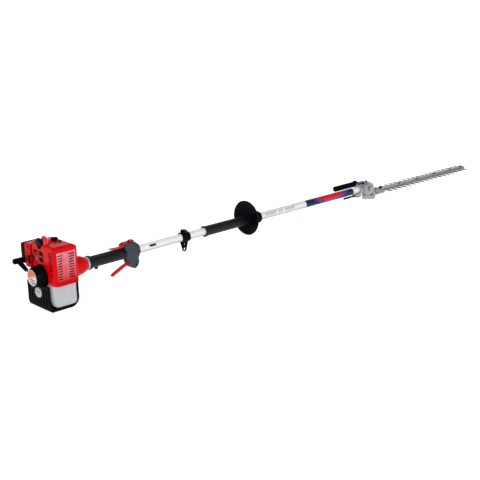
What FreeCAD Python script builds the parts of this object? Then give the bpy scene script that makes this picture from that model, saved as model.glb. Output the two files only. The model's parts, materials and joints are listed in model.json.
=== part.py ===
import FreeCAD, Part
import math
import os

# Pole hedge trimmer: a small two-stroke engine on a stand, a straight tube with the
# controls and two grips, and a tilting gear head that drives two reciprocating blades.
# Millimetres. +X runs along the pole from the engine to the blades, +Y is the left side
# and +Z is up. The origin is the middle of the stand's bottom face.

os.makedirs("parts", exist_ok=True)

# ---------------------------------------------------------------- driving dimensions
AXIS_Z = 95.0             # height of the pole, the crankshaft and the drive shaft
RUNNING = 0.05            # radial clearance of a shaft in its bore

TUBE_R = 13.0             # pole tube
TUBE_WALL = 1.5
TUBE_START = 100.5
TUBE_END = 1392.0
DRIVE_R = 4.0             # drive shaft

BORE_R = 17.0             # engine bore
THROW = 14.0              # crank throw, half the stroke
ROD_LENGTH = 42.0         # between the connecting rod's two eyes
PIN_HEIGHT = math.sqrt(ROD_LENGTH ** 2 - THROW ** 2)   # wrist pin above the crank axis
CRANK_R = 6.0             # crankshaft journals
CASE_R = 31.0             # recoil starter case
FAN_R = 36.0              # flywheel fan
FAN_CASE_R = 41.0

COVER_X = (-30.0, 50.0)   # red engine cover, outside faces
COVER_Y = (-70.0, 46.0)
COVER_Z = (75.0, 188.0)
COVER_WALL = 2.5
COVER_CORNER = 9.0
COVER_BEND = 20.0         # its big upper front bend
KNOB_X = 20.0             # knob that holds it

TANK_X = (-30.0, 45.0)
TANK_Y = (-66.0, 62.0)
TANK_Z = (10.0, 74.5)
TANK_WALL = 2.0
GUARD_X = (-41.0, 50.0)   # stand round the tank
GUARD_Y = (-60.0, 66.0)
GUARD_BEND = 28.0         # its big front lower bend
CAP_Y = 7.0               # fuel cap, on the rear face of the tank
CAP_Z = 46.0
CAP_R = 16.0
CHOKE_Z = AXIS_Z + 50.0   # choke shaft, along X through the carburettor
PRIMER_Z = AXIS_Z + 38.0

CONE_END = 115.8          # front end of the red cone
RING_END = 123.8          # clamp ring in front of it
GRIP_R = 17.7             # rear grip
GRIP_END = 258.0
SLEEVE_R = 16.7           # front grip
SLEEVE_START = 582.0
SLEEVE_END = 833.0
DISC_X = 773.0            # rear rim of the hand guard's dish
DISC_RISE = 8.0           # the dish's middle stands this far above the pole's axis
HOUSING_HALF = 18.0       # half the width of the throttle housing
TRIGGER_PIN = (279.0, 61.0)
LEVER_PIN = (270.0, 113.0)
CABLE_R = 1.5             # throttle cable
CABLE_Y = TUBE_R + 1.6
HANGER_X = 497.0
HANGER_EYE_Z = 55.0
HANGER_EYE_R = 4.25
HANGER_BOLT_Z = AXIS_Z + 19.5
GUARD_BOLT_X = 812.0

PIVOT_X = 1425.0          # tilt axis of the head, along Y
BEVEL_R = 14.5            # pivot gear
BEVEL_PINION_R = 5.5
SPUR_R = 5.0              # reduction pinion
CRANK_GEAR_R = 18.0
CHEEK_R = 24.0            # fixed cheeks, the hood over them and the tilting barrel between
HOOD_R = 25.0
BARREL_R = 19.5
BARREL_HALF = 16.5
LOCK_PIN = (1378.0, 73.5)
GEAR_CLEAR = 0.4          # tips stand this far apart between centres
CRANK_GEAR_X = PIVOT_X + SPUR_R + CRANK_GEAR_R + GEAR_CLEAR
ECCENTRIC = 7.5           # blade throw, half of each blade's stroke
BLADE_Z = 67.5            # underside of the lower blade
BLADE_THICK = 2.4
BLADE_GAP = 0.3
TOOTH_PITCH = 31.0
TOOTH_COUNT = 18
FIRST_TOOTH_X = 1538.0
BLADE_HALF = 14.0         # half the width of a blade's spine
TOOTH_REACH = 28.0
TOOTH_ROOT = 9.0          # half a tooth's width at its root and at its tip
TOOTH_TIP = 2.6
BLADE_OFFSET = 6.0        # the lower blade rests this far ahead of the upper one
BLADE_TIP_X = 2107.0
BOLT_XS = (1490.0, 1520.0, 1642.0, 1764.0, 1886.0, 2008.0, 2088.0)
ARM_END = 1533.0          # front end of the gear case's arm
BAR_Z = BLADE_Z + 2 * BLADE_THICK + 2 * BLADE_GAP
BAR_THICK = 4.0
CASE_TOP = BLADE_Z - 0.7   # flat top of the gear case, just under the blades
POT_R = 25.0
POT_FLOOR = 50.0
GEAR_Z = 54.5             # underside of the reduction gears
GEAR_THICK = 5.0
HANDLE_Y = 43.0           # angle handle
HANDLE_Z = AXIS_Z + 11.0

V = FreeCAD.Vector
X_AXIS = V(1, 0, 0)
Y_AXIS = V(0, 1, 0)
Z_AXIS = V(0, 0, 1)
PLUG_FOOT = V(-4, 0, 166)                 # where the spark plug leaves the chamber
PLUG_DIR = V(-0.66, 0.10, 0.745).normalize()
ROPE_START = V(-50, 30, 96.5)
ROPE_DIR = V(0, 0.91, 0.4146).normalize()


# ---------------------------------------------------------------- helpers
def block(x0, x1, y0, y1, z0, z1):
    return Part.makeBox(x1 - x0, y1 - y0, z1 - z0, V(x0, y0, z0))


def rod(start, direction, radius, length):
    return Part.makeCylinder(radius, length, start, direction)


def rod_x(x0, x1, radius, y=0.0, z=AXIS_Z):
    return rod(V(x0, y, z), X_AXIS, radius, x1 - x0)


def rod_y(y0, y1, radius, x, z):
    return rod(V(x, y0, z), Y_AXIS, radius, y1 - y0)


def rod_z(z0, z1, radius, x, y=0.0):
    return rod(V(x, y, z0), Z_AXIS, radius, z1 - z0)


def sleeve_x(x0, x1, outer, inner, y=0.0, z=AXIS_Z):
    return rod_x(x0, x1, outer, y, z).cut(rod_x(x0 - 1, x1 + 1, inner, y, z))


def polygon(points):
    return Part.Face(Part.makePolygon(points + [points[0]]))


def plate_y(points, y0, y1):
    """A flat outline of (x, z) points, thick along Y."""
    face = polygon([V(x, y0, z) for x, z in points])
    return face.extrude(V(0, y1 - y0, 0))


def plate_z(points, z0, z1):
    """A flat outline of (x, y) points, thick along Z."""
    face = polygon([V(x, y, z0) for x, y in points])
    return face.extrude(V(0, 0, z1 - z0))


def turned_x(points, z=AXIS_Z):
    """An outline of (x, radius) points turned about the pole's axis."""
    face = polygon([V(x, 0, z + r) for x, r in points])
    return face.revolve(V(0, 0, z), X_AXIS, 360)


def runs_along(edge, axis):
    if len(edge.Vertexes) != 2:
        return False
    direction = edge.Vertexes[1].Point.sub(edge.Vertexes[0].Point)
    if direction.Length < 1e-6:
        return False
    return abs(direction.normalize().dot(axis)) > 0.999


def rounded_box(x, y, z, side_r, top_r, bottom_r=0.0):
    """A box with rounded upright corners and rounded top and bottom rims."""
    box = block(x[0], x[1], y[0], y[1], z[0], z[1])
    box = box.makeFillet(side_r, [e for e in box.Edges if runs_along(e, Z_AXIS)])
    if top_r > 0:
        rim = [e for e in box.Edges if all(abs(v.Z - z[1]) < 1e-6 for v in e.Vertexes)]
        box = box.makeFillet(top_r, rim)
    if bottom_r > 0:
        rim = [e for e in box.Edges if all(abs(v.Z - z[0]) < 1e-6 for v in e.Vertexes)]
        box = box.makeFillet(bottom_r, rim)
    return box


def join(first, *others):
    result = first
    for other in others:
        result = result.fuse(other)
    return result.removeSplitter()


def cut_all(shape, cutters):
    for cutter in cutters:
        shape = shape.cut(cutter)
    return shape


def toothed_points(count, tip, root, width=0.5):
    """Corner points of a gear: count teeth between the root and tip radii."""
    points = []
    step = 2 * math.pi / count
    for i in range(count):
        for share, radius in ((-0.5, root), (-0.5 * width, tip), (0.5 * width, tip), (0.5, root)):
            angle = (i + share * 0.98) * step
            points.append((radius * math.cos(angle), radius * math.sin(angle)))
    return points


def spur_gear(count, tip, root, x, z0, z1):
    outline = [(x + px, py) for px, py in toothed_points(count, tip, root)]
    return plate_z(outline, z0, z1)


def bevel_gear(count, tip, root, narrow, place, place_small, u, v):
    """A toothed cone between two planes; u and v span the gear's own plane."""
    wires = []
    for centre, scale in ((place, 1.0), (place_small, narrow)):
        corners = [centre + u * (px * scale) + v * (py * scale)
                   for px, py in toothed_points(count, tip, root)]
        wires.append(Part.makePolygon(corners + [corners[0]]))
    return Part.makeLoft(wires, True, True)


def bent_rod(points, radius, bend):
    """A round bar along straight runs with tangent arcs at the corners."""
    edges = []
    start = points[0]
    for before, corner, after in zip(points, points[1:], points[2:]):
        back = before.sub(corner).normalize()
        ahead = after.sub(corner).normalize()
        half = math.acos(max(-1.0, min(1.0, back.dot(ahead)))) / 2
        reach = bend / math.tan(half)
        middle = back.add(ahead).normalize() * (bend / math.sin(half) - bend)
        arc_start = corner + back * reach
        arc_end = corner + ahead * reach
        edges.append(Part.LineSegment(start, arc_start).toShape())
        edges.append(Part.Arc(arc_start, corner + middle, arc_end).toShape())
        start = arc_end
    edges.append(Part.LineSegment(start, points[-1]).toShape())
    path = Part.Wire(edges)
    section = Part.Wire(Part.makeCircle(radius, points[0], points[1].sub(points[0])))
    return path.makePipeShell([section], True, False)


def save(name, shape):
    solids = shape.Solids
    if len(solids) == 1:
        shape = solids[0]
    else:
        shape = Part.makeCompound(solids)
    if not shape.isValid():
        print("not valid:", name)
    print(name, len(solids), round(shape.Volume / 1000.0, 2))
    shape.exportStep("parts/" + name + ".step")


# ---------------------------------------------------------------- engine, inside
def make_crankcase():
    body = rod_x(-26, 26, 31)
    deck = block(-24, 24, -24, 24, AXIS_Z + 20, AXIS_Z + 31.8)
    feet = block(-20, 20, -14, 14, AXIS_Z - 31.5, AXIS_Z - 20)
    case = join(body, deck, feet)
    hollow = [rod_x(-10.5, 10.5, 24), rod_z(AXIS_Z, AXIS_Z + 40, BORE_R + 0.5, 0)]
    bearing_bores = [rod_x(-27, -14, 12.05), rod_x(14, 27, 12.05), rod_x(-27, 27, 8)]
    case = cut_all(case, hollow + bearing_bores)
    for x in (-28, 28):
        case = case.cut(rod_x(min(x, 0.75 * x), max(x, 0.75 * x), 28).cut(
            rod_x(-40, 40, 16)))
    save("crankcase", case)


def make_cylinder():
    base = block(-22, 22, -22, 22, AXIS_Z + 32, AXIS_Z + 37)
    barrel = rod_z(AXIS_Z + 32, AXIS_Z + 78, 22, 0)
    parts = [base, barrel]
    for i in range(8):
        z = AXIS_Z + 41 + 5.2 * i
        parts.append(rounded_box((-24, 24), (-28, 28), (z, z + 1.7), 9, 0))
    body = join(*parts)
    body = body.cut(rod_z(AXIS_Z + 30, AXIS_Z + 70, BORE_R, 0))
    body = body.cut(Part.makeSphere(13, V(0, 0, AXIS_Z + 62)))
    plug_room = rod(PLUG_FOOT + PLUG_DIR * 4, PLUG_DIR, 10.5, 60)
    plug_thread = rod(PLUG_FOOT - PLUG_DIR * 6, PLUG_DIR, 4.05, 40)
    ports = [rod_y(-30, -10, 7, 0, AXIS_Z + 46), rod_y(10, 30, 6, 0, AXIS_Z + 45)]
    save("cylinder", cut_all(body, [plug_room, plug_thread] + ports))


def make_piston():
    z = AXIS_Z + PIN_HEIGHT
    body = rod_z(z - 8, z + 12, BORE_R - RUNNING, 0)
    body = body.cut(rod_z(z - 9, z + 8.5, 13.2, 0))
    for groove in (8.6, 10.4):
        body = body.cut(rod_z(z + groove, z + groove + 1, 18, 0).cut(
            rod_z(z + groove - 1, z + groove + 2, BORE_R - 1.5, 0)))
    bosses = sleeve_x(-14.5, -4.8, 6, 4.02, 0, z).fuse(sleeve_x(4.8, 14.5, 6, 4.02, 0, z))
    body = body.fuse(bosses).cut(rod_x(-18, 18, 4.02, 0, z))
    wrist_pin = rod_x(-14, 14, 4.0, 0, z).cut(rod_x(-15, 15, 2.2, 0, z))
    save("piston", Part.makeCompound([body.removeSplitter(), wrist_pin]))


def make_connecting_rod():
    z = AXIS_Z + PIN_HEIGHT
    eye = rod_x(-4, 4, 7, 0, z)
    shank = block(-3, 3, -3.5, 3.5, z - 17, z - 3)
    rod_body = join(eye, shank).cut(rod_x(-5, 5, 4.0 + RUNNING, 0, z))
    save("connecting_rod", rod_body)


def make_crankshaft():
    """The crankpin rests on the -Y side; a caged bearing ring turns on it."""
    journals = rod_x(-42, -5.5, CRANK_R).fuse(rod_x(5.5, 61, CRANK_R))
    webs = rod_x(-9.5, -5.5, 19).fuse(rod_x(5.5, 9.5, 19))
    for x in (-9.5, 5.5):
        relief = block(x - 1, x + 5, -22, -4, AXIS_Z + 9, AXIS_Z + 22)
        webs = webs.cut(relief).cut(relief.mirror(V(0, 0, AXIS_Z), Z_AXIS))
    pin = rod_x(-6, 6, 5, -THROW)
    shaft = join(journals, webs, pin)
    bearing_ring = sleeve_x(-4, 4, 8, 5.05, -THROW)
    save("crankshaft", Part.makeCompound([shaft, bearing_ring]))


def make_bearings():
    rings = []
    for x0, x1 in ((-22, -14.2), (14.2, 22), (70, 80)):
        rings.append(sleeve_x(x0, x1, 12.0, CRANK_R + RUNNING))
    save("bearings", Part.makeCompound(rings))


def make_flywheel():
    hub = CRANK_R + 0.02
    disc = turned_x([(26.5, hub), (45, hub), (45, 14), (37, 17), (36, FAN_R), (32, FAN_R), (31, 14),
                     (26.5, 10)])
    vanes = []
    for i in range(16):
        vane = block(35, 45, -0.9, 0.9, AXIS_Z + 20, AXIS_Z + FAN_R - 0.5)
        vane.rotate(V(0, 0, AXIS_Z), X_AXIS, 22.5 * i)
        vanes.append(vane)
    save("flywheel", join(disc, *vanes))


def make_clutch_shoes():
    """Two shoes on a carrier that turns with the crankshaft, and their spring."""
    carrier = sleeve_x(46, 48.5, 21, CRANK_R + 0.02)
    ring = sleeve_x(49, 59, 22.5, 9)
    split = block(45, 65, -1.2, 1.2, AXIS_Z - 30, AXIS_Z + 30)
    groove = sleeve_x(53, 55, 24, 20.5)
    shoes = ring.cut(split).cut(groove)
    spring = sleeve_x(53.3, 54.7, 21.9, 20.8)
    save("clutch_shoes", Part.makeCompound([carrier] + shoes.Solids + [spring]))


def make_clutch_drum():
    shell = sleeve_x(50, 64.5, 25.5, 23.2)
    back = rod_x(62, 64.5, 25.5)
    stub = rod_x(62, 98, CRANK_R)
    drum = join(shell, back, stub).cut(rod_x(78, 99, DRIVE_R + 0.03))
    save("clutch_drum", drum)


def make_ignition_coil():
    core = block(30.5, 34.9, -11, 11, AXIS_Z + 37.5, AXIS_Z + 44)
    gap = block(30, 44, -5, 5, AXIS_Z + 37, AXIS_Z + 41)
    winding = rounded_box((30.5, 34.9), (-9, 11), (AXIS_Z + 44.1, AXIS_Z + 57), 2, 1)
    save("ignition_coil", Part.makeCompound([core.cut(gap), winding]))


def make_spark_plug():
    thread = rod(PLUG_FOOT + PLUG_DIR * 0.5, PLUG_DIR, 4.0, 7)
    hexagon = rod(PLUG_FOOT + PLUG_DIR * 7, PLUG_DIR, 6.5, 7)
    insulator = rod(PLUG_FOOT + PLUG_DIR * 14, PLUG_DIR, 4.5, 16)
    tip = rod(PLUG_FOOT + PLUG_DIR * 30, PLUG_DIR, 2.5, 6)
    save("spark_plug", join(thread, hexagon, insulator, tip))


def make_plug_cap():
    boot = rod(PLUG_FOOT + PLUG_DIR * 17, PLUG_DIR, 8.5, 29)
    boot = boot.makeFillet(3, [boot.Edges[0], boot.Edges[2]])
    collar = rod(PLUG_FOOT + PLUG_DIR * 36, PLUG_DIR, 10, 4)
    boot = join(boot, collar)
    hollow = rod(PLUG_FOOT + PLUG_DIR * 10, PLUG_DIR, 4.6, 27)
    save("plug_cap", boot.cut(hollow))


def make_plug_lead():
    route = [V(33, 11.1, 148), V(33, 23, 148), V(30.5, 23, 181.8), V(4, 13, 181.8), V(-6.9, 4.5, 181.8)]
    save("plug_lead", bent_rod(route, 2.4, 5))


# ---------------------------------------------------------------- engine, outside
def slot_column(x0, x1, y0, y1, z0, pitch, count, height):
    return [block(x0, x1, y0, y1, z0 + pitch * i, z0 + pitch * i + height) for i in range(count)]


def cover_body(grow=0.0):
    """The engine cover's outer shape, grown outwards."""
    front = COVER_X[1] + grow
    top = COVER_Z[1] + grow
    body = rounded_box((COVER_X[0] - grow, front), (COVER_Y[0] - grow, COVER_Y[1] + grow),
                       (COVER_Z[0], top), COVER_CORNER + grow, COVER_CORNER - 1 + grow)
    curve = block(-60, front, -90, 90, 0, top)
    edges = [e for e in curve.Edges if runs_along(e, Y_AXIS) and e.BoundBox.ZMin > top - 1
             and e.BoundBox.XMin > front - 1]
    return body.common(curve.makeFillet(COVER_BEND + grow, edges))


def make_engine_cover():
    """Red shell over the cylinder and muffler, open at the bottom and on the carburettor's side."""
    outer = cover_body()
    lip = rounded_box((-24, 47), (-73, -50), (COVER_Z[0], COVER_Z[0] + 5), 7, 1.5)
    outer = outer.fuse(lip)
    inner = cover_body(-COVER_WALL)
    mouth = rounded_box((COVER_X[0] + COVER_WALL, COVER_X[1] - COVER_WALL),
                        (COVER_Y[0] + COVER_WALL, COVER_Y[1] - COVER_WALL),
                        (COVER_Z[0] - 5, COVER_Z[0] + 5), COVER_CORNER - COVER_WALL, 0)
    shell = cut_all(outer, [inner, mouth])
    arch = rod_x(-60, -20, CASE_R + 2.5)
    below_arch = block(-60, -20, -33, 60, 60, AXIS_Z + 6)
    intake_side = block(COVER_X[0] + 0.1, COVER_X[1] - 0.1, 40, 60, 60, COVER_Z[1] - 22)
    fan_room = rod_x(20, 60, FAN_CASE_R + 0.6).fuse(rod_x(39.4, 60, 46.6))
    fan_below = block(30, 54, -34, 60, 60, AXIS_Z)
    panel = rounded_box((-20, 40), (-71, -69.2), (88, 171), 0.7, 0)
    near_slots = slot_column(-18, -3, -75, -60, 92, 7.6, 10, 3.2)
    near_slots += slot_column(18, 36, -75, -60, 92, 7.6, 10, 3.2)
    rear_slots = slot_column(-35, -20, -62, -42, 117, 7.2, 8, 3.4)
    windows = []
    for y0, y1 in ((-15, 8), (12, 34)):
        for z0, z1 in ((135, 149), (153, 167)):
            windows.append(block(-35, -20, y0, y1, z0, z1))
    rear_hole = rod_x(-35, -20, 4.5, -54, 104)
    choke_hole = rod_x(-35, -12, 3, 42, CHOKE_Z)
    plug_room = rod(PLUG_FOOT, PLUG_DIR, 15.6, 70)
    knob_hole = rod_z(170, 200, 3.2, KNOB_X)
    cuts = [arch, below_arch, intake_side, fan_room, fan_below, panel, rear_hole, choke_hole, plug_room,
            knob_hole]
    save("engine_cover", cut_all(shell, cuts + near_slots + rear_slots + windows))


def make_plug_hood():
    """Red arch beside the spark plug boot, standing on the engine cover."""
    outer = rod(PLUG_FOOT + PLUG_DIR * 16, PLUG_DIR, 20.5, 30)
    outer = outer.common(Part.makeSphere(28, PLUG_FOOT + PLUG_DIR * 17))
    hood = outer.cut(rod(PLUG_FOOT, PLUG_DIR, 15.6, 80))
    hood = hood.cut(cover_body(0.1))
    hood = hood.cut(block(-90, 40, 1, 60, 100, 260))
    biggest = max(hood.Solids, key=lambda solid: solid.Volume)
    save("plug_hood", biggest)


def make_cover_knob():
    z = COVER_Z[1]
    head = rod_z(z + 0.3, z + 8, 10, KNOB_X)
    head = head.makeFillet(2.5, [e for e in head.Edges if e.BoundBox.ZMin > z + 7])
    for i in range(8):
        angle = math.radians(45 * i)
        notch = rod_z(z, z + 10, 1.8, KNOB_X + 11 * math.cos(angle), 11 * math.sin(angle))
        head = head.cut(notch)
    save("cover_knob", join(head, rod_z(z - 8, z + 1, 3.0, KNOB_X)))


def make_muffler():
    can = rounded_box((-21, 25), (-64, -37), (102, 168), 6, 5)
    stub = rod_y(-37.5, -28.3, 9, 0, AXIS_Z + 46)
    outlet = rod_y(-66, -63, 5, 14, 128)
    save("muffler", join(can, stub, outlet).cut(rod_y(-67, -60, 3.5, 14, 128)))


def make_fan_case():
    """Red cone between the engine and the pole; the fan, the clutch and a bearing sit in it."""
    outline = [(26.3, FAN_CASE_R), (40, FAN_CASE_R), (40, 46), (46, 46), (47, 42), (56, FAN_CASE_R),
               (64, 35), (78, 31), (98, 27.5), (108, 24), (CONE_END, 19.5), (CONE_END, 13.05),
               (100, 13.05), (100, 12.05), (68, 12.05), (68, 27.5), (56, 30), (50, 38), (26.3, 38)]
    case = turned_x(outline)
    coil_window = block(20, 45, -13, 13, AXIS_Z + 30, AXIS_Z + 60)
    top_hole = rod_z(AXIS_Z + 20, AXIS_Z + 60, 2, 84)
    save("fan_case", case.cut(coil_window).cut(top_hole))


def make_clamp_ring():
    start = CONE_END + 0.3
    save("clamp_ring", turned_x([(start, 13.1), (RING_END, 13.1), (RING_END, 19), (RING_END - 1, 20),
                                 (start + 1, 20), (start, 19)]))


def make_starter_case():
    outline = [(-62, 0), (-58.5, 0), (-58.5, 22.3), (-55, 25), (-46, CASE_R - 3), (-30.4, CASE_R - 3),
               (-30.4, CASE_R), (-46, CASE_R), (-57, CASE_R - 2.5), (-62, CASE_R - 6)]
    case = turned_x(outline)
    post = rod_x(-59, -45, 4)
    case = join(case, post)
    case = case.cut(rod(ROPE_START - ROPE_DIR * 8, ROPE_DIR, 3.2, 48))
    for i in range(12):
        slot = block(-57, -48, -1.6, 1.6, AXIS_Z + 23.5, AXIS_Z + 40)
        slot.rotate(V(0, 0, AXIS_Z), X_AXIS, 30 * i + 10)
        case = case.cut(slot)
    save("starter_case", case)


def make_starter_reel():
    groove = [(-54, 4 + RUNNING), (-45.5, 4 + RUNNING), (-45.5, 23), (-47.5, 23), (-48.5, 18),
              (-51.5, 18), (-52.5, 22), (-54, 22)]
    save("starter_reel", turned_x(groove))


def make_starter_grip():
    """T-shaped pull grip; its cross bar lies along X."""
    foot = V(-50, 0, AXIS_Z) + Y_AXIS * 45 + Z_AXIS * 8.3
    stem_start = foot + ROPE_DIR * 3
    stem = Part.makeCone(6.0, 8.0, 42, stem_start, ROPE_DIR)
    centre = stem_start + ROPE_DIR * 46
    bar = rod(centre - X_AXIS * 17, X_AXIS, 8.5, 34)
    bar = bar.makeFillet(5, [bar.Edges[0], bar.Edges[2]])
    grip = join(stem, bar)
    bore = rod(stem_start - ROPE_DIR, ROPE_DIR, 1.9, 26)
    save("starter_grip", grip.cut(bore))
    rope = rod(V(-50, 25.2, AXIS_Z - 0.7), ROPE_DIR, 1.75, 48)
    save("starter_rope", rope)


def make_air_cleaner():
    """Red slatted housing on the carburettor, a foam element and a black outer lid."""
    outer = rounded_box((-31, 24), (52, 84), (106, 176), 4, 4)
    inner = block(-28.5, 21.5, 55, 90, 108.5, 173.5)
    housing = outer.cut(inner)
    slats = []
    for i in range(5):
        z = 112 + 8.5 * i
        slat = block(-40, -26, 60, 80, z, z + 3.6)
        slat.rotate(V(-31, 70, z), X_AXIS, 22)
        slats.append(slat)
    triangle = polygon([V(-40, 58, 171), V(-40, 73, 171), V(-40, 58, 154)])
    slats.append(triangle.extrude(V(14, 0, 0)))
    throat = rod_y(50, 58, 8, 0, 140)
    save("air_cleaner_case", cut_all(housing, slats + [throat]))
    save("air_filter", rounded_box((-26, 19), (62, 80), (111, 171), 5, 0))
    lid = rounded_box((-30, 24), (84.2, 108), (112, 172), 6, 6)
    lid = lid.cut(block(-27.5, 21.5, 80, 105, 115, 166))
    for i in range(4):
        lid = lid.cut(block(-32, -29, 88, 104, 120 + 12 * i, 124 + 12 * i))
    save("air_cleaner_lid", lid)


def make_carburettor():
    body = block(-14, 14, 33, 51.7, AXIS_Z + 34, AXIS_Z + 56)
    flange = rod_y(28.3, 34, 10, 0, AXIS_Z + 45)
    boss = rod_x(-22, -14, 5, 42, CHOKE_Z)
    body = join(body, flange, boss)
    body = body.cut(rod_y(28, 52, 5.5, 0, AXIS_Z + 45))
    arm_bore = rod_z(AXIS_Z + 50, AXIS_Z + 57, 2.0 + RUNNING, 4, 43)
    choke_bore = rod_x(-23, -15, 2.0 + RUNNING, 42, CHOKE_Z)
    primer_pocket = rod_x(-15, -7, 6.9, 42, PRIMER_Z)
    save("carburettor", cut_all(body, [arm_bore, choke_bore, primer_pocket]))


def make_throttle_arm():
    z = AXIS_Z + 56.3
    shaft = rod_z(z - 6, z + 3, 2.0, 4, 43)
    lever = plate_z([(1, 40), (4, 39), (22, 41), (22, 45), (4, 47), (1, 46)], z, z + 2)
    arm = join(shaft, lever)
    arm.rotate(V(4, 43, z), Z_AXIS, -30)
    save("throttle_arm", arm)


def make_choke_lever():
    z = CHOKE_Z
    shaft = rod_x(-40, -17, 2.0, 42, z)
    paddle = block(-43, -39.5, 39, 45, z - 22, z + 3)
    paddle = paddle.makeFillet(1.4, [e for e in paddle.Edges if runs_along(e, X_AXIS)])
    save("choke_lever", join(shaft, paddle))


def make_primer_bulb():
    bulb = Part.makeSphere(6.5, V(-14, 42, PRIMER_Z)).common(block(-30, -14, 20, 80, 60, 190))
    save("primer_bulb", join(bulb, rod_x(-14, -11, 6.5, 42, PRIMER_Z)))


def front_foot_edge(box):
    """The lower front edge of a box, along Y."""
    edges = [e for e in box.Edges if runs_along(e, Y_AXIS)]
    return max(edges, key=lambda e: e.CenterOfMass.x - e.CenterOfMass.z)


def make_fuel_tank():
    shells = []
    for wall in (0.0, TANK_WALL):
        shell = rounded_box((TANK_X[0] + wall, TANK_X[1] - wall), (TANK_Y[0] + wall, TANK_Y[1] - wall),
                            (TANK_Z[0] + wall, TANK_Z[1] - wall), 15 - wall, 4 - wall, 8 - wall)
        curve = block(-90, TANK_X[1] - wall, -90, 90, TANK_Z[0] + wall, 90)
        curve = curve.makeFillet(GUARD_BEND - 5 - wall, [front_foot_edge(curve)])
        under_crankcase = rod_x(-80, 24, 35 + wall)
        under_fan = rod_x(24 - wall, 80, 48.5 + wall)
        shells.append(cut_all(shell.common(curve), [under_crankcase, under_fan]))
    outer, inner = shells
    neck = rod_x(TANK_X[0] - 6, TANK_X[0] + 3, CAP_R - 4, CAP_Y, CAP_Z)
    filler = rod_x(TANK_X[0] - 7, TANK_X[0] + 5, CAP_R - 6, CAP_Y, CAP_Z)
    save("fuel_tank", outer.fuse(neck).cut(inner).cut(filler))


def make_fuel_cap():
    x = TANK_X[0] - 6.3
    z = CAP_Z
    dome = rod_x(x - 8, x, CAP_R, CAP_Y, z)
    dome = dome.makeFillet(3.5, [e for e in dome.Edges if e.BoundBox.XMax < x - 7])
    grip_bar = block(x - 11, x - 7, CAP_Y - 10, CAP_Y + 10, z - 2.5, z + 2.5)
    plug = rod_x(x - 1, x + 9, CAP_R - 6.3, CAP_Y, z)
    save("fuel_cap", join(dome, grip_bar, plug))


def make_tank_guard():
    """Black stand: rear panel, flat base and a thin band curving up in front of the tank."""
    rear, front = GUARD_X
    right, left = GUARD_Y
    outer = block(rear, front, right, left, 0, 70)
    outer = outer.makeFillet(GUARD_BEND, [front_foot_edge(outer)])
    inner = block(rear + 6, front - 3.8, right - 20, left + 20, 8, 90)
    inner = inner.makeFillet(GUARD_BEND - 4, [front_foot_edge(inner)])
    frame = outer.cut(inner)
    heel = block(rear - 1, front + 1, left - 12, left + 1, -1, 12)
    frame = frame.cut(heel.cut(rod_x(rear - 2, front + 2, 12, left - 12, 12)))
    corner = [V(-60, -43, 80), V(-60, -43, 30), V(-60, -56, 9), V(-60, -80, 9), V(-60, -80, 80)]
    frame = frame.cut(polygon(corner).extrude(V(30, 0, 0)))
    frame = frame.cut(rod_x(-60, 0, CASE_R + 0.4)).cut(rod_x(0, 60, 47))
    frame = frame.cut(rod_x(-60, -20, CAP_R + 1, CAP_Y, CAP_Z))
    for i in range(7):
        y = -38 + 15 * i
        frame = frame.cut(block(rear - 2, rear + 1.8, y, y + 6, 10, 62))
    for y in (-30, 30):
        frame = frame.cut(rod_x(30, 60, 5, y, 30))
    save("tank_guard", frame)


# ---------------------------------------------------------------- pole and controls
def make_pole():
    save("shaft_tube", sleeve_x(TUBE_START, TUBE_END, TUBE_R, TUBE_R - TUBE_WALL))
    bushes = [sleeve_x(x, x + 14, TUBE_R - TUBE_WALL - RUNNING, DRIVE_R + RUNNING)
              for x in (250, 560, 870, 1180)]
    save("shaft_bushes", Part.makeCompound(bushes))


def make_drive_shaft():
    big = PIVOT_X - BEVEL_R
    shaft = rod_x(79, big + 1, DRIVE_R)
    pinion = bevel_gear(10, BEVEL_PINION_R - 0.2, BEVEL_PINION_R - 1.4, 0.7, V(big, 0, AXIS_Z),
                        V(big + 4, 0, AXIS_Z), Y_AXIS, Z_AXIS)
    save("drive_shaft", join(shaft, pinion))


def make_rear_grip():
    start = RING_END + 0.3
    outline = [(start, 13.05), (GRIP_END, 13.05), (GRIP_END, 15.7), (252, GRIP_R), (start + 7, GRIP_R),
               (start + 6.5, 21.5), (start, 21.5)]
    grip = turned_x(outline)
    boss = rod_z(AXIS_Z - 25, AXIS_Z - 14, 6, 154)
    boss = boss.makeFillet(2.5, [e for e in boss.Edges if e.BoundBox.ZMax < AXIS_Z - 24])
    grip = join(grip, boss)
    groove = block(start - 1, 260, 12, 16.6, AXIS_Z - 2, AXIS_Z + 2)
    cable_exit = block(start - 1, 162, 12, 25, AXIS_Z - 2, AXIS_Z + 4)
    save("rear_grip", cut_all(grip, [groove, cable_exit, rod_x(start - 2, 262, 13.05)]))


HOUSING_OUTLINE = [(250, 121), (260, 126), (292, 126), (303, 117), (308.5, 105), (309.5, 92), (304, 80),
                   (301, 74), (303, 62), (297, 50), (288, 43), (277, 46), (268, 60), (257, 97)]
HOUSING_TOP = 126.0


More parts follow.
